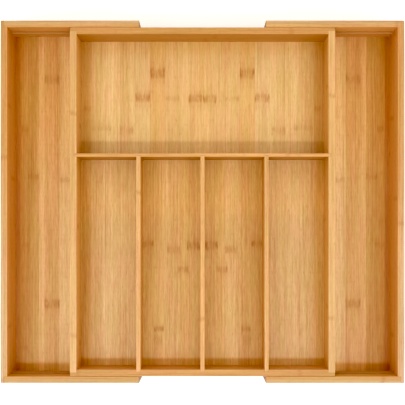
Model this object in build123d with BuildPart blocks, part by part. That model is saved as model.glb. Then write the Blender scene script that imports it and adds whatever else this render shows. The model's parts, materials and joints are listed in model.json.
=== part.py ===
from build123d import *
import os

# An expanding bamboo drawer insert, in millimetres.
#
# The centre tray has one wide compartment at the back and four long ones in front of it. A wing
# on each side is a three-sided tray: its arms run along the outside of the centre tray's front
# and back walls, and its floor slides in under the centre tray. Tongues on the arms run in
# grooves in those walls, and a cleat on the wing's floor stops it at full reach.
#
# X runs across the tray, Y from front to back and Z up. The origin is in the middle of the
# surface that the tray stands on. Both wings are modelled pulled out.

# Overall sizes
WIDTH = 490.0  # over both wings
DEPTH = 440.0  # over the wings' arms
HEIGHT = 60.0  # of every wall and divider above the drawer's bottom
CENTRE_WIDTH = 322.0  # over the centre tray's side walls
ARM_LENGTH = 160.0  # from the wing's side wall to the arm's free end
BACK_COMPARTMENT = 145.0  # clear depth of the wide compartment
SLOT_COUNT = 4  # long compartments in front of it

# Thickness of the boards
WALL = 8.0
DIVIDER = 5.0  # between the long compartments
CROSS_DIVIDER = 4.0
PANEL = 4.0

# Joinery
LAP = 4.0  # rabbet that takes the end of a wall at each corner
PANEL_GROOVE = 3.0  # groove that takes the edge of a floor panel
DIVIDER_HOUSING = 3.0  # housing for a divider in a wall
CROSS_HOUSING = 1.5  # housing for a long divider in the cross divider
EDGE_ROUND = 0.4  # upper edges of walls and dividers
CORNER_ROUND = 1.2  # upright outer corners

# Levels above the drawer's bottom
WING_PANEL_BASE = 2.0
CENTRE_BASE = 6.5  # lower edge of the centre tray's walls
CENTRE_PANEL_BASE = 11.0

# Slide
SLIDE_GAP = 0.3  # between an arm and the centre tray's wall
TONGUE_BASE = 27.0
TONGUE_HEIGHT = 6.0
TONGUE_SEAT = 2.5  # let into the arm
TONGUE_REACH = 2.2  # proud of the arm
TONGUE_BEVEL = 0.5
TONGUE_SIDE_GAP = 0.4  # above and below the tongue in the centre tray's groove
CLEAT_WIDTH = 8.0
CLEAT_HEIGHT = 4.0
CLEAT_LENGTH = 400.0

# Countersunk screws that hold a cleat down
SCREW_RADIUS = 1.25
SCREW_HEAD_RADIUS = 2.4
SCREW_HEAD_ANGLE = 90.0
SCREW_LENGTH = 7.0
SCREW_PITCH = 150.0
SCREWS_PER_CLEAT = 3
RECESS_LENGTH = 2.6
RECESS_WIDTH = 0.6
RECESS_DEPTH = 0.7

# Brads that pin the corners
BRAD_RADIUS = 0.6
BRAD_HEAD_RADIUS = 1.0
BRAD_HEAD = 0.6
BRAD_LENGTH = 18.0
BRAD_POINT = 2.0
BRAD_SINK = 0.4  # head below the surface
BRAD_LEVELS = (18.0, 50.0)

HOLE_GAP = 0.05  # round a screw or brad in its hole
HEAD_DOWN = (Align.CENTER, Align.CENTER, Align.MAX)  # a fastener's solids from its head inwards

# Faces and levels that follow from the sizes
WING_INNER_X = WIDTH / 2 - WALL
WING_INNER_Y = DEPTH / 2 - WALL
ARM_END_X = WING_INNER_X - ARM_LENGTH
CENTRE_OUTER_X = CENTRE_WIDTH / 2
CENTRE_INNER_X = CENTRE_OUTER_X - WALL
CENTRE_OUTER_Y = WING_INNER_Y - SLIDE_GAP
CENTRE_INNER_Y = CENTRE_OUTER_Y - WALL
CROSS_BACK_Y = CENTRE_INNER_Y - BACK_COMPARTMENT
CROSS_FRONT_Y = CROSS_BACK_Y - CROSS_DIVIDER
LONG_DIVIDER_BACK_Y = CROSS_FRONT_Y + CROSS_HOUSING
WING_FLOOR = WING_PANEL_BASE + PANEL
CENTRE_FLOOR = CENTRE_PANEL_BASE + PANEL
CLEAT_X = CENTRE_INNER_X - SLIDE_GAP - CLEAT_WIDTH / 2
SLOT_PITCH = (2 * CENTRE_INNER_X + DIVIDER) / SLOT_COUNT
LONG_DIVIDER_PLACES = [(i + 1 - SLOT_COUNT / 2) * SLOT_PITCH for i in range(SLOT_COUNT - 1)]


def cut(low, high):
    """Cuts the block between two corners out of the piece being built."""
    size = Vector(high) - Vector(low)
    with Locations(Vector(low)):
        Box(size.X, size.Y, size.Z, align=(Align.MIN, Align.MIN, Align.MIN), mode=Mode.SUBTRACT)


def mirrored(original, plane):
    """The matching piece on the other side of a plane."""
    with BuildPart() as copy:
        mirror(original.part, about=plane)
    return copy


def save(piece, name):
    piece.part.label = name
    export_step(piece.part, f"parts/{name}.step")


# Fasteners and their holes


def brad_places(corner, outwards):
    """Where a corner's brads enter: planes that face outwards, one above the other."""
    return [Plane(origin=(*corner, level), z_dir=outwards) for level in BRAD_LEVELS]


def drill_brad_holes(places):
    with Locations(*places):
        CounterBoreHole(
            radius=BRAD_RADIUS + HOLE_GAP,
            counter_bore_radius=BRAD_HEAD_RADIUS + HOLE_GAP,
            counter_bore_depth=BRAD_SINK + BRAD_HEAD,
            depth=BRAD_SINK + BRAD_LENGTH + HOLE_GAP,
        )


def make_brads(places):
    """Headed, pointed nails, all in one group."""
    with BuildPart() as brads:
        with Locations(*[place.offset(-BRAD_SINK) for place in places]):
            Cylinder(BRAD_HEAD_RADIUS, BRAD_HEAD, align=HEAD_DOWN)
            Cylinder(BRAD_RADIUS, BRAD_LENGTH - BRAD_POINT, align=HEAD_DOWN)
        with Locations(*[place.offset(BRAD_POINT - BRAD_LENGTH - BRAD_SINK) for place in places]):
            Cone(0, BRAD_RADIUS, BRAD_POINT, align=HEAD_DOWN)
    return brads


def screw_places():
    """Where the right wing's screws enter its floor from below."""
    first = -(SCREWS_PER_CLEAT - 1) / 2
    rows = [(first + i) * SCREW_PITCH for i in range(SCREWS_PER_CLEAT)]
    return [Plane(origin=(CLEAT_X, y, WING_PANEL_BASE), z_dir=(0, 0, -1)) for y in rows]


def drill_screw_holes():
    with Locations(*screw_places()):
        CounterSinkHole(
            radius=SCREW_RADIUS + HOLE_GAP,
            counter_sink_radius=SCREW_HEAD_RADIUS + HOLE_GAP,
            depth=SCREW_LENGTH + HOLE_GAP,
            counter_sink_angle=SCREW_HEAD_ANGLE,
        )


def make_screws():
    """Countersunk screws with crossed recesses, flush with the underside of the floor."""
    head_height = SCREW_HEAD_RADIUS - SCREW_RADIUS
    with BuildPart() as screws:
        with Locations(*screw_places()):
            Cylinder(SCREW_RADIUS, SCREW_LENGTH, align=HEAD_DOWN)
            Cone(SCREW_RADIUS, SCREW_HEAD_RADIUS, head_height, align=HEAD_DOWN)
            Box(RECESS_LENGTH, RECESS_WIDTH, RECESS_DEPTH, align=HEAD_DOWN, mode=Mode.SUBTRACT)
            Box(RECESS_WIDTH, RECESS_LENGTH, RECESS_DEPTH, align=HEAD_DOWN, mode=Mode.SUBTRACT)
    return screws


# The centre tray


def centre_corner_brads(side, end):
    """Through the lip of the front or back wall (end -1 or 1) into the end of a side wall."""
    return brad_places((side * (CENTRE_OUTER_X - WALL / 2), end * CENTRE_OUTER_Y), (0, end, 0))


def make_centre_floor_panel():
    with BuildPart() as panel:
        with BuildSketch(Plane.XY.offset(CENTRE_PANEL_BASE)):
            reach_x = CENTRE_INNER_X + PANEL_GROOVE
            reach_y = CENTRE_INNER_Y + PANEL_GROOVE
            Rectangle(2 * reach_x, 2 * reach_y)
        extrude(amount=PANEL)
    return panel


def make_centre_right_wall():
    """Runs between the front and back walls' rabbets."""
    with BuildPart() as wall:
        with BuildSketch(Plane.XZ) as section:
            with Locations((CENTRE_OUTER_X - WALL / 2, (CENTRE_BASE + HEIGHT) / 2)):
                Rectangle(WALL, HEIGHT - CENTRE_BASE)
            fillet(section.vertices().group_by(Axis.Y)[-1], EDGE_ROUND)
            with Locations((CENTRE_INNER_X + PANEL_GROOVE / 2, CENTRE_PANEL_BASE + PANEL / 2)):
                Rectangle(PANEL_GROOVE, PANEL, mode=Mode.SUBTRACT)
        extrude(amount=CENTRE_INNER_Y + LAP, both=True)
        cut(
            (CENTRE_INNER_X, CROSS_FRONT_Y, CENTRE_FLOOR),
            (CENTRE_INNER_X + DIVIDER_HOUSING, CROSS_BACK_Y, HEIGHT),
        )
        for end in (-1, 1):
            drill_brad_holes(centre_corner_brads(1, end))
    return wall


def make_centre_back_wall():
    """Runs the centre tray's full width, over the ends of its side walls."""
    with BuildPart() as wall:
        with BuildSketch(Plane.XY.offset(CENTRE_BASE)) as plan:
            with Locations((0, CENTRE_OUTER_Y - WALL / 2)):
                Rectangle(CENTRE_WIDTH, WALL)
            fillet(plan.vertices().group_by(Axis.Y)[-1], CORNER_ROUND)
        extrude(amount=HEIGHT - CENTRE_BASE)
        fillet(wall.faces().sort_by(Axis.Z)[-1].edges(), EDGE_ROUND)
        cut(
            (-CENTRE_OUTER_X, CENTRE_INNER_Y, CENTRE_PANEL_BASE),
            (CENTRE_OUTER_X, CENTRE_INNER_Y + PANEL_GROOVE, CENTRE_FLOOR),
        )
        cut(
            (-CENTRE_OUTER_X, WING_INNER_Y - TONGUE_REACH - SLIDE_GAP, TONGUE_BASE - TONGUE_SIDE_GAP),
            (CENTRE_OUTER_X, CENTRE_OUTER_Y, TONGUE_BASE + TONGUE_HEIGHT + TONGUE_SIDE_GAP),
        )
        for rabbet_x in (-CENTRE_OUTER_X, CENTRE_INNER_X):
            cut(
                (rabbet_x, CENTRE_INNER_Y, CENTRE_BASE),
                (rabbet_x + WALL, CENTRE_INNER_Y + LAP, HEIGHT),
            )
        for side in (-1, 1):
            drill_brad_holes(centre_corner_brads(side, 1))
    return wall


def make_centre_front_wall(back_wall):
    """The back wall turned to the front, with housings for the long dividers."""
    with BuildPart() as wall:
        mirror(back_wall.part, about=Plane.XZ)
        for x in LONG_DIVIDER_PLACES:
            cut(
                (x - DIVIDER / 2, -CENTRE_INNER_Y - DIVIDER_HOUSING, CENTRE_FLOOR),
                (x + DIVIDER / 2, -CENTRE_INNER_Y, HEIGHT),
            )
    return wall


def make_cross_divider():
    with BuildPart() as divider:
        with BuildSketch(Plane.YZ) as section:
            with Locations(((CROSS_FRONT_Y + CROSS_BACK_Y) / 2, (CENTRE_FLOOR + HEIGHT) / 2)):
                Rectangle(CROSS_DIVIDER, HEIGHT - CENTRE_FLOOR)
            fillet(section.vertices().group_by(Axis.Y)[-1], EDGE_ROUND)
        extrude(amount=CENTRE_INNER_X + DIVIDER_HOUSING, both=True)
        for x in LONG_DIVIDER_PLACES:
            cut(
                (x - DIVIDER / 2, CROSS_FRONT_Y, CENTRE_FLOOR),
                (x + DIVIDER / 2, LONG_DIVIDER_BACK_Y, HEIGHT),
            )
    return divider


def make_long_divider(x):
    """Runs from the cross divider to the front wall."""
    with BuildPart() as divider:
        with BuildSketch(Plane.XZ.offset(-LONG_DIVIDER_BACK_Y)) as section:
            with Locations((x, (CENTRE_FLOOR + HEIGHT) / 2)):
                Rectangle(DIVIDER, HEIGHT - CENTRE_FLOOR)
            fillet(section.vertices().group_by(Axis.Y)[-1], EDGE_ROUND)
        extrude(amount=LONG_DIVIDER_BACK_Y + CENTRE_INNER_Y + DIVIDER_HOUSING)
    return divider


def make_centre_brads():
    corners = [(side, end) for side in (-1, 1) for end in (-1, 1)]
    return make_brads([place for corner in corners for place in centre_corner_brads(*corner)])


# The right-hand wing


def wing_corner_brads(end):
    """Through the side wall's lip into the root of the front or back arm (end -1 or 1)."""
    return brad_places((WIDTH / 2, end * (DEPTH / 2 - WALL / 2)), (1, 0, 0))


def make_wing_side_wall():
    """Runs the full depth, over the ends of the arms."""
    with BuildPart() as wall:
        with BuildSketch(Plane.XY) as plan:
            with Locations((WIDTH / 2 - WALL / 2, 0)):
                Rectangle(WALL, DEPTH)
            fillet(plan.vertices().group_by(Axis.X)[-1], CORNER_ROUND)
        extrude(amount=HEIGHT)
        fillet(wall.faces().sort_by(Axis.Z)[-1].edges(), EDGE_ROUND)
        cut(
            (WING_INNER_X, -DEPTH / 2, WING_PANEL_BASE),
            (WING_INNER_X + PANEL_GROOVE, DEPTH / 2, WING_FLOOR),
        )
        for rabbet_y in (-DEPTH / 2, WING_INNER_Y):
            cut(
                (WING_INNER_X, rabbet_y, 0),
                (WING_INNER_X + LAP, rabbet_y + WALL, HEIGHT),
            )
        for end in (-1, 1):
            drill_brad_holes(wing_corner_brads(end))
    return wall


def make_wing_back_arm():
    """Let into the side wall's rabbet, and free at its other end."""
    with BuildPart() as arm:
        with BuildSketch(Plane.XY):
            with Locations((ARM_END_X, WING_INNER_Y)):
                Rectangle(ARM_LENGTH + LAP, WALL, align=(Align.MIN, Align.MIN))
        extrude(amount=HEIGHT)
        top_edges = arm.faces().sort_by(Axis.Z)[-1].edges()
        fillet(top_edges.sort_by(Axis.X)[:-1], EDGE_ROUND)
        cut(
            (ARM_END_X, WING_INNER_Y, WING_PANEL_BASE),
            (WING_INNER_X + LAP, WING_INNER_Y + PANEL_GROOVE, WING_FLOOR),
        )
        cut(
            (ARM_END_X, WING_INNER_Y, TONGUE_BASE),
            (WING_INNER_X, WING_INNER_Y + TONGUE_SEAT, TONGUE_BASE + TONGUE_HEIGHT),
        )
        drill_brad_holes(wing_corner_brads(1))
    return arm


def make_wing_back_tongue():
    """Set into the arm along its whole clear length, with bevelled running edges."""
    with BuildPart() as tongue:
        with BuildSketch(Plane.YZ.offset(ARM_END_X)) as section:
            with Locations((WING_INNER_Y - TONGUE_REACH, TONGUE_BASE)):
                Rectangle(TONGUE_REACH + TONGUE_SEAT, TONGUE_HEIGHT, align=(Align.MIN, Align.MIN))
            chamfer(section.vertices().group_by(Axis.X)[0], TONGUE_BEVEL)
        extrude(amount=ARM_LENGTH)
    return tongue


def make_wing_floor_panel():
    with BuildPart() as panel:
        with BuildSketch(Plane.XY.offset(WING_PANEL_BASE)):
            with Locations((ARM_END_X, 0)):
                Rectangle(
                    ARM_LENGTH + PANEL_GROOVE,
                    2 * (WING_INNER_Y + PANEL_GROOVE),
                    align=(Align.MIN, Align.CENTER),
                )
        extrude(amount=PANEL)
        drill_screw_holes()
    return panel


def make_wing_stop_cleat():
    """Meets the inside of the centre tray's wall when the wing is pulled right out."""
    with BuildPart() as cleat:
        with BuildSketch(Plane.XY.offset(WING_FLOOR)):
            with Locations((CLEAT_X, 0)):
                Rectangle(CLEAT_WIDTH, CLEAT_LENGTH)
        extrude(amount=CLEAT_HEIGHT)
        fillet(cleat.faces().sort_by(Axis.Z)[-1].edges(), EDGE_ROUND)
        drill_screw_holes()
    return cleat


def make_right_wing():
    """The wing's pieces by name."""
    back_arm = make_wing_back_arm()
    back_tongue = make_wing_back_tongue()
    return {
        "side_wall": make_wing_side_wall(),
        "back_arm": back_arm,
        "front_arm": mirrored(back_arm, Plane.XZ),
        "back_tongue": back_tongue,
        "front_tongue": mirrored(back_tongue, Plane.XZ),
        "floor_panel": make_wing_floor_panel(),
        "stop_cleat": make_wing_stop_cleat(),
        "stop_screws": make_screws(),
        "brads": make_brads(wing_corner_brads(-1) + wing_corner_brads(1)),
    }


os.makedirs("parts", exist_ok=True)

centre_right_wall = make_centre_right_wall()
centre_back_wall = make_centre_back_wall()
save(make_centre_floor_panel(), "centre_floor_panel")
save(centre_right_wall, "centre_right_wall")
save(mirrored(centre_right_wall, Plane.YZ), "centre_left_wall")
save(centre_back_wall, "centre_back_wall")
save(make_centre_front_wall(centre_back_wall), "centre_front_wall")
save(make_cross_divider(), "cross_divider")
save(make_centre_brads(), "centre_brads")
for divider_name, divider_x in zip(("left", "middle", "right"), LONG_DIVIDER_PLACES):
    save(make_long_divider(divider_x), f"{divider_name}_divider")

for piece_name, wing_piece in make_right_wing().items():
    save(wing_piece, f"right_wing_{piece_name}")
    save(mirrored(wing_piece, Plane.YZ), f"left_wing_{piece_name}")
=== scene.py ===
"""The expanding bamboo drawer insert, as a product photograph from straight above.

The CAD pieces keep their shapes and get their finish here: every board is laminated bamboo with
its own grain, and the fasteners are steel. Lengths are in metres, in the frame of the CAD model.
"""

import json

import bpy
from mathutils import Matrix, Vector


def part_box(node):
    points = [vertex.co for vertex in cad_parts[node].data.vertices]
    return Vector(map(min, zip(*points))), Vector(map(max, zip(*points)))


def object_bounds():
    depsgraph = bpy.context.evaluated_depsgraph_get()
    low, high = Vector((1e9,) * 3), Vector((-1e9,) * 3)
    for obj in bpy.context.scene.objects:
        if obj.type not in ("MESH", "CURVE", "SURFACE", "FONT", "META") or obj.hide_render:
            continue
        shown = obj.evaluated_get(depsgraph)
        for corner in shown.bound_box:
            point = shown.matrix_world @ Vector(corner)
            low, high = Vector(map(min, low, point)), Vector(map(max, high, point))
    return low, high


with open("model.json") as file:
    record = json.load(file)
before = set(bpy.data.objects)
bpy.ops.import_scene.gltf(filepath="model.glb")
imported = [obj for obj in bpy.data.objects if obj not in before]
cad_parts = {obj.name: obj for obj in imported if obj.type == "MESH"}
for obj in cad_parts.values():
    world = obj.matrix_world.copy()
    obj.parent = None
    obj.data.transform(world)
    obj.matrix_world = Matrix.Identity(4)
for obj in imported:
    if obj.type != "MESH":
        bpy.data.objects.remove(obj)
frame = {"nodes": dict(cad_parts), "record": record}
cad_low, cad_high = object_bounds()

# Camera: straight above, a little in front of the middle
SENSOR = 36.0  # mm
CAMERA_ABOVE_RIM = 1.155
CAMERA_Y = -0.0537
VIEW_WIDTH = 0.4914  # what the picture spans across, at the rim
VIEW_MIDDLE_Y = -0.0009  # where the middle of the picture falls, at the rim

# Picture tone: what is darker than this shows as black
BLACK_LEVEL = 0.036

# Strip light, across the tray
STRIP_PLACE = (0.0, -0.404, 1.10)
STRIP_SIZE = (1.0, 0.067)
STRIP_POWER = 3.63  # W
STRIP_COLOUR = (1.0, 1.06, 1.13)

# The white tent all round
TENT_COLOUR = (1.0, 0.97, 0.94, 1.0)
TENT_STRENGTH = 1.18

# Studio floor, which glows a little so that it stays white
FLOOR_SIZE = 6.0
FLOOR_WHITE = (1.0, 1.0, 1.0, 1.0)
FLOOR_ROUGHNESS = 0.9
FLOOR_GLOSS = 0.1
FLOOR_GLOW = 0.15

# Streaks in the wood: their width, their length and the number of their random draw
FINE = (0.0022, 0.09, 0)
FIBRES = (0.0005, 0.018, 1)
BROAD = (0.016, 0.30, 2)
DASHES = (0.0016, 0.008, 3)
PORES = (0.00035, 0.006, 4)
PATCHES = (0.010, 0.06, 5)
VEINS = (0.0008, 0.12, 6)
FLECKS = (0.0013, 0.014, 7)
RIM_LINES = (0.0011, 0.10, 8)
DRAW_SHIFTS = (7.3, 3.1)  # how far apart two draws lie in the noise, across the grain and in depth

# How much fine streaks, fibres, broad streaks and flecks change the tone, and lines on the rim
TONE_WEIGHTS = (0.8, 0.35, 0.8, 0.75)
RIM_LINE_WEIGHT = 1.2

# From what noise to what noise each of these comes in, and how strong it gets
PORE_ONSET = (0.66, 0.78, 0.0, 0.35)
VEIN_ONSET = (0.66, 0.78, 0.0, 0.30)
DASH_ONSET = (0.38, 0.60, 0.5, 1.0)
PATCH_ONSET = (0.35, 0.65)
SEAM_WIDTH = 0.0004
SEAM_STRENGTH = 0.30

# Bands, as the distances where they come in and where they are full
RIM_TOP = (0.0012, 0.0003)  # below the top of the tray
# Painted highlight along the rim's edges
EDGE_HIGHLIGHT_BAND = (0.0014, 0.0007)  # from the edge of the rim
RIM_FADE = (0.12, -0.20)  # along the tray, from the back to the front
FRONT_BLEND = 0.0015  # each side of the line where the front slats begin
ZONE_CORE = 0.4  # the part of a zone's reach where it is full
END_GRAIN = (0.0005, 0.0001)  # from the end of the board
END_STRENGTH = 0.7

# Painted shade along the crease just above a tongue
CREASE_SHADE_ABOVE_TONGUE = 0.0010
CREASE_SHADE_BAND = (0.0024, 0.0010, 0.0, 0.65)
CREASE_SHADE_DEPTH = (0.0010, 0.0003)  # from the board's inner face

# Nodes of the cane
KNOT_WANDER = 0.006
KNOT_SIDE_BLEND = 0.0006
KNOT_MIDDLE = (0.3, 0.6)  # the pale part of its half width, and how strong it is there
KNOT_CORE = 0.15  # the part of its half length where it is full
KNOT_HALO = (2.4, 0.40)  # how many half lengths it reaches, and how strong it is
SCATTER_SPACING = 0.27
SCATTER_HALF_LENGTH = 0.005
SCATTER_STRENGTH = 0.45
SCATTER_DRAW = 0.5

# Satin lacquer
LACQUER_ROUGHNESS = (0.2, 0.8, 0.45, 0.60)  # from what noise to what noise, and its roughness
LACQUER_GLOSS = 0.25
COAT_WEIGHT = 0.08
COAT_ROUGHNESS = 0.28
LINE_SINK = 2.0  # how much deeper lines lie than fibres
WOOD_BUMP = (0.35, 0.00008)

# Drawn steel
SCRATCHES_PER_METRE = 4000.0
STEEL_ROUGHNESS = (0.3, 0.7, 0.25, 0.45)
STEEL_BUMP = (0.2, 0.00002)


# Shader graphs


class Graph:
    """A material's node tree. Most methods add a node and return its output socket."""

    def __init__(self, name):
        self.material = bpy.data.materials.new(name)
        self.material.use_nodes = True
        self.tree = self.material.node_tree
        self.shader = self.tree.nodes["Principled BSDF"]

    def plug(self, socket, value):
        if isinstance(value, bpy.types.NodeSocket):
            self.tree.links.new(value, socket)
        elif value is not None:
            socket.default_value = value

    def math(self, operation, *values, clamp=False):
        node = self.tree.nodes.new("ShaderNodeMath")
        node.operation = operation
        node.use_clamp = clamp
        for socket, value in zip(node.inputs, values):
            self.plug(socket, value)
        return node.outputs[0]

    def remap(self, value, low, high, to_low=0.0, to_high=1.0):
        """Smoothly from to_low to to_high as the value goes from low to high."""
        node = self.tree.nodes.new("ShaderNodeMapRange")
        node.interpolation_type = "SMOOTHSTEP"
        for socket, given in zip(node.inputs, (value, low, high, to_low, to_high)):
            self.plug(socket, given)
        return node.outputs[0]

    def away(self, value, place):
        """How far the value is from a place, either way."""
        return self.math("ABSOLUTE", self.math("SUBTRACT", value, place))

    def object_place(self):
        """Where the surface is, in X, Y and Z."""
        coordinates = self.tree.nodes.new("ShaderNodeTexCoord")
        split = self.tree.nodes.new("ShaderNodeSeparateXYZ")
        self.plug(split.inputs[0], coordinates.outputs["Object"])
        return split.outputs

    def combine(self, x, y, z):
        node = self.tree.nodes.new("ShaderNodeCombineXYZ")
        for socket, value in zip(node.inputs, (x, y, z)):
            self.plug(socket, value)
        return node.outputs[0]

    def noise(self, vector, detail=2.0, roughness=0.5):
        node = self.tree.nodes.new("ShaderNodeTexNoise")
        node.inputs["Scale"].default_value = 1.0
        node.inputs["Detail"].default_value = detail
        node.inputs["Roughness"].default_value = roughness
        self.plug(node.inputs["Vector"], vector)
        return node.outputs[0]

    def random(self, value, seed):
        """One random number from 0 to 1 for each different value."""
        node = self.tree.nodes.new("ShaderNodeTexWhiteNoise")
        node.noise_dimensions = "2D"
        self.plug(node.inputs["Vector"], self.combine(value, seed, 0.0))
        return node.outputs[0]

    def mix(self, factor, a, b, blend="MIX"):
        node = self.tree.nodes.new("ShaderNodeMix")
        node.data_type = "RGBA"
        node.blend_type = blend
        self.plug(node.inputs["Factor"], factor)
        self.plug(node.inputs["A"], a)
        self.plug(node.inputs["B"], b)
        return node.outputs["Result"]

    def stain(self, wood, shade):
        """The wood's colour times a tint."""
        return self.mix(1.0, wood, shade, blend="MULTIPLY")

    def ramp(self, value, steps, interpolation):
        """The tint of each (place, tint) as the value rises from 0, in steps or blended."""
        furthest = steps[-1][0]
        node = self.tree.nodes.new("ShaderNodeValToRGB")
        node.color_ramp.interpolation = interpolation
        stops = node.color_ramp.elements
        stops.remove(stops[1])
        for place, shade in steps[1:]:
            stops.new(place / furthest).color = shade
        stops[0].color = steps[0][1]
        self.plug(node.inputs[0], self.math("DIVIDE", value, furthest))
        return node.outputs[0]

    def bump(self, height, strength, distance):
        node = self.tree.nodes.new("ShaderNodeBump")
        node.inputs["Strength"].default_value = strength
        node.inputs["Distance"].default_value = distance
        self.plug(node.inputs["Height"], height)
        self.plug(self.shader.inputs["Normal"], node.outputs[0])


def colour(red, green, blue):
    """A display colour, 0 to 255, as the linear colour that a shader takes."""
    def linear(value):
        value /= 255
        return value / 12.92 if value <= 0.04045 else ((value + 0.055) / 1.055) ** 2.4

    return (linear(red), linear(green), linear(blue), 1.0)


# Bamboo


class Bamboo(Graph):
    """Laminated bamboo for the board that reaches from the corner low to the corner high."""

    def __init__(self, name, look, seed, low, high):
        super().__init__(name)
        self.look, self.seed, self.low, self.high = look, seed, low, high
        # The axes along the grain and across it
        self.length_axis, self.side_axis = (1, 0) if look["grain"] == "Y" else (0, 1)
        place = self.object_place()
        self.along, self.across = place[self.length_axis], place[self.side_axis]
        self.depth = place[2]
        self.mirrored = self.math("ABSOLUTE", self.across)
        self.fine = self.streaks(FINE)
        self.fibres = self.streaks(FIBRES)
        self.front = None
        if "front_edge" in look:
            edge = look["front_edge"]
            self.front = self.remap(self.along, edge + FRONT_BLEND, edge - FRONT_BLEND)
        # Slats side by side: the number of each, and the seam between them
        slat_axis = self.depth if look["slats_stacked"] else self.across
        place = self.math("MULTIPLY_ADD", slat_axis, 1 / look["slat"], look["slat_shift"])
        self.slat = self.math("FLOOR", place)
        from_middle = self.away(self.math("FRACT", place), 0.5)
        self.seam = self.remap(from_middle, 0.5 - SEAM_WIDTH / look["slat"], 0.5)

    def streaks(self, size, detail=2.0):
        """Noise drawn out along the grain, in streaks of that width and length."""
        width, length, draw = size
        shift_across, shift_depth = DRAW_SHIFTS
        vector = self.combine(
            self.math("MULTIPLY_ADD", self.across, 1 / width, (self.seed + draw) * shift_across),
            self.math("MULTIPLY", self.along, 1 / length),
            self.math("MULTIPLY_ADD", self.depth, 1 / width, (self.seed + draw) * shift_depth),
        )
        return self.noise(vector, detail=detail)

    def tone(self):
        """From 0 to 1, how light the wood is: a shade for each slat, with the streaks in it."""
        shade = self.random(self.slat, self.seed)
        tone = self.math("MULTIPLY", self.math("SUBTRACT", shade, 0.5), self.look["slat_contrast"])
        sources = (self.fine, self.fibres, self.streaks(BROAD), self.streaks(FLECKS))
        for source, weight in zip(sources, TONE_WEIGHTS):
            centred = self.math("SUBTRACT", source, 0.5)
            tone = self.math("MULTIPLY_ADD", centred, weight, tone)
        contrast = self.look["contrast"]
        if self.front is not None:
            contrast = self.remap(self.front, 0.0, 1.0, contrast, self.look["front_contrast"])
        return self.math("MULTIPLY_ADD", tone, contrast, 0.5, clamp=True)

    def planed_rim_with_painted_light(self, wood, tone):
        """The planed rim on top of the board: a tone of its own, partly planed wood and partly
        painted light on the lit top, with a painted highlight along its edges.
        """
        lines = self.math("SUBTRACT", self.streaks(RIM_LINES), 0.5)
        tone = self.math("MULTIPLY_ADD", lines, RIM_LINE_WEIGHT, tone, clamp=True)
        rim = self.mix(tone, self.look["rim_dark"], self.look["rim_light"])
        low, high = self.low[self.side_axis], self.high[self.side_axis]
        # Painted light across the rim: warmer on the inner side, bluer on the outer side
        if "rim_sides" in self.look:
            inner, outer = sorted((abs(low), abs(high)))
            outward = self.remap(self.mirrored, inner, outer)
            rim = self.stain(rim, self.mix(outward, *self.look["rim_sides"]))
        if "rim_fade" in self.look:
            forward = self.remap(self.along, *RIM_FADE)
            rim = self.stain(rim, self.mix(forward, *self.look["rim_fade"]))
        # Painted highlight: a pale band along both edges of the rim
        from_low = self.math("SUBTRACT", self.across, low)
        from_high = self.math("SUBTRACT", high, self.across)
        edge_highlight = self.remap(self.math("MINIMUM", from_low, from_high), *EDGE_HIGHLIGHT_BAND)
        rim = self.mix(edge_highlight, rim, self.stain(rim, PAINTED_EDGE_HIGHLIGHT))
        top = self.remap(self.depth, *(cad_high[2] - below for below in RIM_TOP))
        return self.mix(top, wood, rim)

    def shade_outwards(self, kind, interpolation):
        """The tint of a floor from the middle of the tray outwards, at the rear and in front."""
        rear = self.ramp(self.mirrored, self.look[kind], interpolation)
        if self.front is None:
            return rear
        return self.mix(
            self.front, rear, self.ramp(self.mirrored, self.look["front_" + kind], interpolation)
        )

    def floor_shades(self, wood):
        """A tint for each slat with some painted light and shade, painted shade towards the side
        walls, and painted light and shade along the floor.
        """
        # Slat tints, partly the slats' own tones and partly painted light and shade
        wood = self.stain(wood, self.shade_outwards("slats", "CONSTANT"))
        # Painted shade towards the side walls, and in the wings painted light beside the tray's
        # side wall
        wood = self.stain(wood, self.shade_outwards("shade", "LINEAR"))
        # Painted light and shade in zones along the floor
        for middle, reach, shade in self.look["zones"]:
            near = self.remap(self.away(self.along, middle), reach, reach * ZONE_CORE)
            wood = self.mix(near, wood, self.stain(wood, shade))
        return wood

    def joint_line(self, wood):
        """Painted shade along the crease just above a tongue that is let into the board's inner
        face.
        """
        crease_shade = self.remap(self.away(self.depth, self.look["joint_level"]), *CREASE_SHADE_BAND)
        inner_face = min(abs(self.low[self.side_axis]), abs(self.high[self.side_axis]))
        inside = self.remap(self.mirrored, *(inner_face + depth for depth in CREASE_SHADE_DEPTH))
        return self.mix(self.math("MULTIPLY", crease_shade, inside), wood, self.look["line"])

    def patches(self, wood):
        """Warmer and cooler patches."""
        warmth = self.remap(self.streaks(PATCHES), *PATCH_ONSET)
        return self.stain(wood, self.mix(warmth, COOL_PATCH, WARM_PATCH))

    def knot_mask(self, wander, knot):
        """1 in one node of the cane and 0 outside: a band in a faint halo, darker at its sides."""
        middle_across, middle_along, half_width, half_length, strength = knot
        side = self.away(self.mirrored, middle_across)
        blend_from, blend_to = half_width + KNOT_SIDE_BLEND, half_width - KNOT_SIDE_BLEND
        inside = self.remap(side, blend_from, blend_to, 0.0, strength)
        pale_width, pale_strength = KNOT_MIDDLE
        sides = self.remap(side, half_width * pale_width, half_width, pale_strength, 1.0)
        ragged = self.math("ADD", self.math("SUBTRACT", self.along, middle_along), wander)
        away = self.math("ABSOLUTE", ragged)
        band = self.remap(away, half_length, half_length * KNOT_CORE)
        halo_reach, halo_strength = KNOT_HALO
        halo = self.remap(away, half_length * halo_reach, 0.0, 0.0, halo_strength)
        band = self.math("MAXIMUM", band, halo)
        return self.math("MULTIPLY", self.math("MULTIPLY", inside, sides), band)

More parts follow.
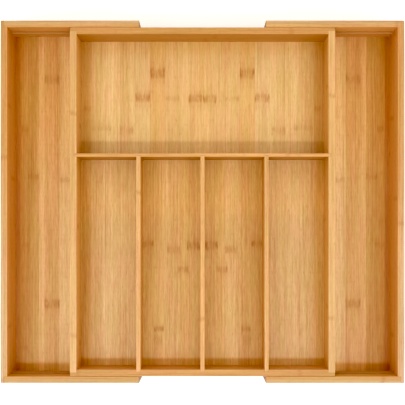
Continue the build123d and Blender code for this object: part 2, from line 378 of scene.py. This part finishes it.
    def scattered_knots(self, wander):
        """Nodes every so often along each slat, at places of their own."""
        shift = self.random(self.slat, self.seed + SCATTER_DRAW)
        shifted = self.math("MULTIPLY_ADD", self.along, 1 / SCATTER_SPACING, shift)
        cycle = self.math("SUBTRACT", self.math("FRACT", shifted), 0.5)
        away = self.math("ABSOLUTE", self.math("MULTIPLY_ADD", cycle, SCATTER_SPACING, wander))
        return self.remap(away, SCATTER_HALF_LENGTH, 0.0, 0.0, SCATTER_STRENGTH)

    def knots(self, wood):
        """Nodes of the cane, as soft brown bands broken into dashes."""
        wander = self.math("MULTIPLY", self.math("SUBTRACT", self.fine, 0.5), KNOT_WANDER)
        if "knots" in self.look:
            mask = 0.0
            for knot in self.look["knots"]:
                mask = self.math("MAXIMUM", mask, self.knot_mask(wander, knot))
        else:
            mask = self.scattered_knots(wander)
        broken = self.remap(self.streaks(DASHES), *DASH_ONSET)
        return self.mix(self.math("MULTIPLY", mask, broken), wood, self.look["knot"])

    def fine_lines(self):
        """Where pores, seams and veins run, and how dark they are."""
        pore = self.remap(self.streaks(PORES, detail=0.0), *PORE_ONSET)
        vein = self.remap(self.streaks(VEINS, detail=0.0), *VEIN_ONSET)
        line = self.math("MAXIMUM", pore, self.math("MULTIPLY", self.seam, SEAM_STRENGTH))
        return self.math("MAXIMUM", line, vein)

    def end_grain(self, wood):
        """The darker grain on the two ends of the board."""
        low, high = self.low[self.length_axis], self.high[self.length_axis]
        half_length = (high - low) / 2
        away = self.away(self.along, (low + high) / 2)
        begins, full = (half_length - inward for inward in END_GRAIN)
        return self.mix(
            self.remap(away, begins, full, 0.0, END_STRENGTH), wood, self.look["end"]
        )

    def lacquer(self, wood, line):
        """A satin lacquer over the wood, in which the fibres and the lines can be felt."""
        inputs = self.shader.inputs
        self.plug(inputs["Base Color"], wood)
        self.plug(inputs["Roughness"], self.remap(self.fibres, *LACQUER_ROUGHNESS))
        inputs["Specular IOR Level"].default_value = LACQUER_GLOSS
        inputs["Coat Weight"].default_value = COAT_WEIGHT
        inputs["Coat Roughness"].default_value = COAT_ROUGHNESS
        sunk = self.math("MULTIPLY", line, LINE_SINK)
        self.bump(self.math("SUBTRACT", self.fibres, sunk), *WOOD_BUMP)


def bamboo(name, look, seed, low, high):
    """The material of one board."""
    board = Bamboo(name, look, seed, low, high)
    tone = board.tone()
    wood = board.mix(tone, look["dark"], look["light"])
    # The rim's own tone, partly painted light on the lit top
    if "rim_light" in look:
        wood = board.planed_rim_with_painted_light(wood, tone)
    if "slats" in look:
        wood = board.floor_shades(wood)
    if "joint_level" in look:
        wood = board.joint_line(wood)
    wood = board.knots(board.patches(wood))
    line = board.fine_lines()
    wood = board.end_grain(board.mix(line, wood, look["line"]))
    board.lacquer(wood, line)
    return board.material


# Places of the nodes in the floors: distance from the middle of the tray, distance behind the
# middle, half width, half length and strength. They are the same on both sides of the middle.
CENTRE_FLOOR_KNOTS = (
    (0.0564, 0.164, 0.0094, 0.012, 1.00),
    (0.0752, 0.133, 0.0094, 0.010, 0.85),
    (0.0090, 0.132, 0.0085, 0.009, 0.90),
    (0.0376, 0.132, 0.0085, 0.005, 0.40),
    (0.0960, 0.092, 0.0090, 0.010, 0.50),
    (0.1270, 0.095, 0.0120, 0.006, 0.40),
    (0.1450, 0.120, 0.0040, 0.006, 0.70),
    (0.0690, -0.051, 0.0075, 0.007, 1.00),
    (0.0365, -0.058, 0.0080, 0.009, 0.65),
    (0.0115, -0.053, 0.0080, 0.010, 1.00),
    (0.0245, -0.083, 0.0070, 0.007, 0.80),
    (0.0550, -0.158, 0.0060, 0.006, 0.90),
    (0.0560, -0.172, 0.0050, 0.012, 0.60),
)
WING_FLOOR_KNOTS = (
    (0.191, 0.158, 0.0095, 0.011, 0.70),
    (0.226, 0.095, 0.0040, 0.007, 0.75),
    (0.215, 0.034, 0.0070, 0.007, 0.70),
    (0.175, 0.030, 0.0065, 0.006, 0.50),
    (0.226, -0.052, 0.0065, 0.007, 0.55),
    (0.191, -0.127, 0.0095, 0.011, 0.90),
    (0.227, -0.183, 0.0050, 0.007, 0.55),
)


def tint(red, green, blue):
    """A tint, which the colour of the wood is multiplied by."""
    return (red, green, blue, 1.0)


PLAIN = tint(1.00, 1.00, 1.00)
# Painted highlight along the rim's edges
PAINTED_EDGE_HIGHLIGHT = tint(1.08, 1.09, 1.14)
# Painted light across a rim: warmer on the inner side, bluer on the outer side
RIM_SIDES_PAINTED_LIGHT = (tint(1.03, 0.94, 0.78), tint(0.96, 1.07, 1.30))  # inner and outer side
WARM_PATCH = tint(1.02, 0.98, 1.03)
COOL_PATCH = tint(0.98, 1.02, 0.97)

# Tints of the floors from the middle of the tray outwards: one for each slat, partly the slats'
# own tones and partly painted light and shade beside the walls and dividers, and a smooth painted
# shade. The shade darkens the wood itself beside the side walls, where the lights alone leave it
# too pale. In the wings it also paints light beside the tray's side wall, and at their outer edge
# it is as dark as the wall next to it.
REAR_SLAT_TONES_AND_PAINTED_LIGHT = (
    (0.0000, tint(1.04, 1.07, 1.10)),
    (0.0094, tint(1.00, 1.03, 1.06)),
    (0.0282, tint(0.98, 0.99, 1.02)),
    (0.0470, tint(0.96, 0.94, 0.87)),
    (0.0658, tint(1.00, 1.06, 1.17)),
    (0.0846, tint(1.01, 1.07, 1.15)),
    (0.1034, tint(1.08, 1.18, 1.32)),
    (0.1222, tint(1.08, 1.20, 1.34)),
    (0.1410, tint(1.02, 1.06, 1.10)),
    (0.1600, tint(1.02, 1.06, 1.10)),
)
REAR_PAINTED_SHADE = (
    (0.000, tint(1.00, 1.00, 1.00)),
    (0.122, tint(1.00, 1.00, 1.00)),
    (0.131, tint(0.93, 0.89, 0.82)),
    (0.138, tint(0.84, 0.76, 0.64)),
    (0.145, tint(0.76, 0.63, 0.43)),
    (0.160, tint(0.78, 0.66, 0.48)),
)
FRONT_SLAT_TONES_AND_PAINTED_LIGHT = (
    (0.0000, tint(0.97, 0.97, 0.90)),
    (0.0094, tint(0.93, 0.92, 0.84)),
    (0.0282, tint(0.97, 1.01, 1.06)),
    (0.0470, tint(0.92, 0.92, 0.88)),
    (0.0658, tint(0.90, 0.88, 0.80)),
    (0.0780, tint(1.04, 1.14, 1.28)),
    (0.0846, tint(0.98, 1.06, 1.20)),
    (0.1034, tint(0.95, 1.02, 1.16)),
    (0.1222, tint(1.00, 1.12, 1.36)),
    (0.1410, tint(0.98, 1.02, 1.05)),
    (0.1600, tint(0.98, 1.02, 1.05)),
)
FRONT_PAINTED_LIGHT_AND_SHADE = (
    (0.0000, tint(1.00, 1.00, 1.00)),
    (0.0460, tint(1.00, 1.00, 1.00)),
    (0.0560, tint(0.93, 0.88, 0.81)),
    (0.0700, tint(0.93, 0.88, 0.76)),
    (0.0755, tint(0.99, 0.95, 0.82)),
    (0.0780, tint(1.04, 1.02, 1.00)),
    (0.0960, tint(1.00, 1.00, 1.00)),
    (0.1220, tint(1.00, 1.00, 1.00)),
    (0.1310, tint(0.93, 0.87, 0.80)),
    (0.1400, tint(0.86, 0.76, 0.62)),
    (0.1480, tint(0.80, 0.69, 0.49)),
    (0.1600, tint(0.85, 0.74, 0.56)),
)
WING_SLAT_TONES_AND_PAINTED_LIGHT = (
    (0.000, tint(1.08, 1.18, 1.40)),
    (0.181, tint(0.95, 0.93, 0.95)),
    (0.191, tint(0.93, 0.91, 0.91)),
    (0.2005, tint(1.01, 1.02, 1.10)),
    (0.207, tint(0.86, 0.83, 0.74)),
    (0.226, tint(0.86, 0.80, 0.68)),
    (0.245, tint(0.86, 0.80, 0.68)),
)
WING_PAINTED_LIGHT_AND_SHADE = (
    (0.000, tint(1.26, 1.36, 1.44)),
    (0.165, tint(1.20, 1.30, 1.38)),
    (0.174, tint(1.08, 1.12, 1.15)),
    (0.180, tint(1.00, 1.00, 1.00)),
    (0.207, tint(1.00, 1.00, 1.00)),
    (0.218, tint(0.94, 0.90, 0.82)),
    (0.226, tint(0.91, 0.82, 0.69)),
    (0.2305, tint(0.90, 0.79, 0.64)),
    (0.2320, tint(0.77, 0.56, 0.50)),
    (0.245, tint(0.76, 0.54, 0.46)),
)

# The front slats begin under the middle of the cross divider
cross_low, cross_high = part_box("cross_divider")
FRONT_EDGE = (cross_low[1] + cross_high[1]) / 2

# Level of the painted crease shade just above the top of a tongue, which is the same on every arm
TONGUE_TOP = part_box("left_wing_back_tongue")[1][2]
CREASE_SHADE_LEVEL = TONGUE_TOP + CREASE_SHADE_ABOVE_TONGUE

FLOOR = {
    "grain": "Y", "slats_stacked": False, "slat": 0.0188, "slat_shift": 0.5,
    "light": colour(236, 194, 130), "dark": colour(194, 140, 74), "knot": colour(170, 110, 48),
    "line": colour(156, 98, 40), "end": colour(130, 84, 40),
    "contrast": 1.0, "slat_contrast": 0.08,
}
WALL = {
    "grain": "Y", "slats_stacked": True, "slat": 0.022, "slat_shift": 0.4,
    "light": colour(222, 168, 100), "dark": colour(190, 134, 68), "knot": colour(166, 104, 44),
    "line": colour(146, 90, 36), "end": colour(124, 78, 36),
    "rim_light": colour(214, 170, 117), "rim_dark": colour(178, 134, 82),
    "contrast": 0.9, "slat_contrast": 0.3,
}
CROSSWISE = {**WALL, "grain": "X"}
LOOKS = {
    "centre_floor": {
        **FLOOR, "contrast": 0.83, "front_contrast": 1.08, "knots": CENTRE_FLOOR_KNOTS,
        "slats": REAR_SLAT_TONES_AND_PAINTED_LIGHT, "shade": REAR_PAINTED_SHADE,
        "front_edge": FRONT_EDGE, "front_slats": FRONT_SLAT_TONES_AND_PAINTED_LIGHT, "front_shade": FRONT_PAINTED_LIGHT_AND_SHADE,
        # Painted light and shade along the floor, as (middle, reach, tint): shade by the back
        # wall, a little cooler light in the rear compartment, light in front of the cross divider
        # and before the front wall, a little shade in the middle of the front compartments, and a
        # brown shade right by the front wall
        "zones": (
            (0.204, 0.022, tint(0.99, 0.95, 0.88)),
            (0.130, 0.110, tint(1.00, 1.02, 1.06)),
            (0.022, 0.050, tint(1.08, 1.07, 1.04)),
            (-0.100, 0.100, tint(0.96, 0.97, 1.00)),
            (-0.204, 0.055, tint(1.04, 1.06, 1.14)),
            (-0.204, 0.014, tint(1.04, 0.95, 0.74)),
        ),
    },
    "wing_floor": {
        **FLOOR, "knots": WING_FLOOR_KNOTS, "slats": WING_SLAT_TONES_AND_PAINTED_LIGHT, "shade": WING_PAINTED_LIGHT_AND_SHADE,
        # Painted light and shade along the wing floor: warmer towards the back, cooler towards the
        # front, light before the front arm and a brown shade right by it
        "zones": (
            (0.212, 0.200, tint(1.02, 0.97, 0.86)),
            (-0.212, 0.300, tint(0.97, 0.99, 1.04)),
            (-0.212, 0.055, tint(1.06, 1.07, 1.10)),
            (-0.212, 0.016, tint(1.04, 0.92, 0.66)),
        ),
    },
    "side_wall": {**WALL, "rim_fade": (PLAIN, tint(0.98, 1.02, 1.12))},
    "end_wall": CROSSWISE,
    "divider": WALL,
    "wing_side_wall": {
        **WALL, "rim_sides": RIM_SIDES_PAINTED_LIGHT,
        "rim_fade": (tint(0.97, 0.87, 0.72), tint(1.05, 1.13, 1.40)),
    },
    "wing_arm": {**CROSSWISE, "rim_sides": RIM_SIDES_PAINTED_LIGHT, "joint_level": CREASE_SHADE_LEVEL},
    # The tongue is a darker copy of the wall's wood: painted shade, which dims its lit top face
    "tongue": {**CROSSWISE, "light": colour(200, 147, 89), "dark": colour(174, 120, 65)},
    "cleat": WALL,
}

# Boards that differ from the others: a tint for the planed rim and one for the faces. Both
# are partly the board's own tone and partly painted light and shade that the lights alone don't
# give. Two boards that mirror each other are alike, so their names stand here without left and
# right.
BOARDS = {
    "centre_wall": (tint(1.08, 1.06, 0.99), tint(1.12, 1.17, 1.28)),
    "centre_back_wall": (tint(0.88, 0.76, 0.57), tint(0.75, 0.68, 0.59)),
    "centre_front_wall": (tint(0.82, 0.72, 0.53), tint(0.89, 0.80, 0.86)),
    "cross_divider": (tint(1.07, 0.96, 0.82), tint(0.74, 0.70, 0.63)),
    "divider": (tint(1.07, 1.04, 0.98), PLAIN),
    "middle_divider": (tint(1.11, 1.08, 0.96), PLAIN),
    "wing_back_arm": (PLAIN, tint(1.04, 1.03, 1.18)),
    "wing_front_arm": (tint(0.90, 0.87, 0.78), PLAIN),
    "wing_side_wall": (PLAIN, tint(1.00, 0.92, 0.98)),
}


def tinted(wood, shade):
    """A plain colour times a tint."""
    return tuple(a * b for a, b in zip(wood, shade))


def board_look(name, slot):
    """The look of the record's material slot, with what is different about this board."""
    look = dict(LOOKS[slot])
    if name == "cross_divider":
        look["grain"] = "X"
    shared_name = name.replace("left_", "").replace("right_", "")
    if shared_name in BOARDS:
        rim, face = BOARDS[shared_name]
        look.update(
            rim_light=tinted(look["rim_light"], rim), rim_dark=tinted(look["rim_dark"], rim),
            light=tinted(look["light"], face), dark=tinted(look["dark"], face),
        )
    return look


# Steel


def steel():
    """Bright drawn steel for the brads and screws."""
    graph = Graph("fastener_steel")
    place = [graph.math("MULTIPLY", axis, SCRATCHES_PER_METRE) for axis in graph.object_place()]
    scratches = graph.noise(graph.combine(*place))
    metal = graph.mix(scratches, colour(148, 146, 142), colour(205, 204, 200))
    graph.plug(graph.shader.inputs["Base Color"], metal)
    graph.plug(graph.shader.inputs["Roughness"], graph.remap(scratches, *STEEL_ROUGHNESS))
    graph.shader.inputs["Metallic"].default_value = 1.0
    graph.bump(scratches, *STEEL_BUMP)
    return graph.material


def finish_nodes():
    """Gives every board bamboo of its own, and the fasteners their steel."""
    fastener = steel()
    for seed, entry in enumerate(frame["record"]["subparts"]):
        name, slot = entry["node"], entry["material_slot"]
        if slot == "fastener":
            material = fastener
        else:
            low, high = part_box(name)
            material = bamboo(name + "_bamboo", board_look(name, slot), seed, low, high)
        node = frame["nodes"][name]
        node.data.materials.clear()
        node.data.materials.append(material)


# Surroundings


def make_floor():
    """A plain white floor under the tray."""
    bpy.ops.mesh.primitive_plane_add(size=FLOOR_SIZE, location=(0, 0, cad_low[2]))
    floor = bpy.context.object
    floor.name = "studio_floor"
    graph = Graph("studio_floor_white")
    inputs = graph.shader.inputs
    inputs["Base Color"].default_value = FLOOR_WHITE
    inputs["Roughness"].default_value = FLOOR_ROUGHNESS
    inputs["Specular IOR Level"].default_value = FLOOR_GLOSS
    inputs["Emission Color"].default_value = FLOOR_WHITE
    inputs["Emission Strength"].default_value = FLOOR_GLOW
    floor.data.materials.append(graph.material)


def make_lights():
    """A white light tent, and a firmer strip light across, above and a little in front."""
    data = bpy.data.lights.new("strip_light", "AREA")
    data.shape = "RECTANGLE"
    data.size, data.size_y = STRIP_SIZE
    data.energy = STRIP_POWER
    data.color = STRIP_COLOUR
    strip = bpy.data.objects.new("strip_light", data)
    strip.location = STRIP_PLACE
    strip.rotation_euler = (-Vector(STRIP_PLACE)).to_track_quat("-Z", "Y").to_euler()
    strip.visible_camera = False
    bpy.context.scene.collection.objects.link(strip)
    world = bpy.data.worlds.new("surround")
    world.use_nodes = True
    background = world.node_tree.nodes["Background"]
    background.inputs["Color"].default_value = TENT_COLOUR
    background.inputs["Strength"].default_value = TENT_STRENGTH
    bpy.context.scene.world = world


def make_picture_tone():
    """The contrast of a product photograph: plain colours over a deepened black."""
    view = bpy.context.scene.view_settings
    view.view_transform = "Standard"
    view.use_curve_mapping = True
    view.curve_mapping.black_level = (BLACK_LEVEL, BLACK_LEVEL, BLACK_LEVEL)
    view.curve_mapping.update()


def make_camera():
    """A camera that looks straight down, shifted so that the whole tray is in the picture."""
    data = bpy.data.cameras.new("camera")
    data.sensor_width = SENSOR
    data.lens = SENSOR * CAMERA_ABOVE_RIM / VIEW_WIDTH
    data.shift_y = (VIEW_MIDDLE_Y - CAMERA_Y) / VIEW_WIDTH
    camera = bpy.data.objects.new("camera", data)
    camera.location = (0.0, CAMERA_Y, cad_high[2] + CAMERA_ABOVE_RIM)
    bpy.context.scene.collection.objects.link(camera)
    bpy.context.scene.camera = camera


make_picture_tone()
make_camera()
make_lights()
make_floor()
finish_nodes()
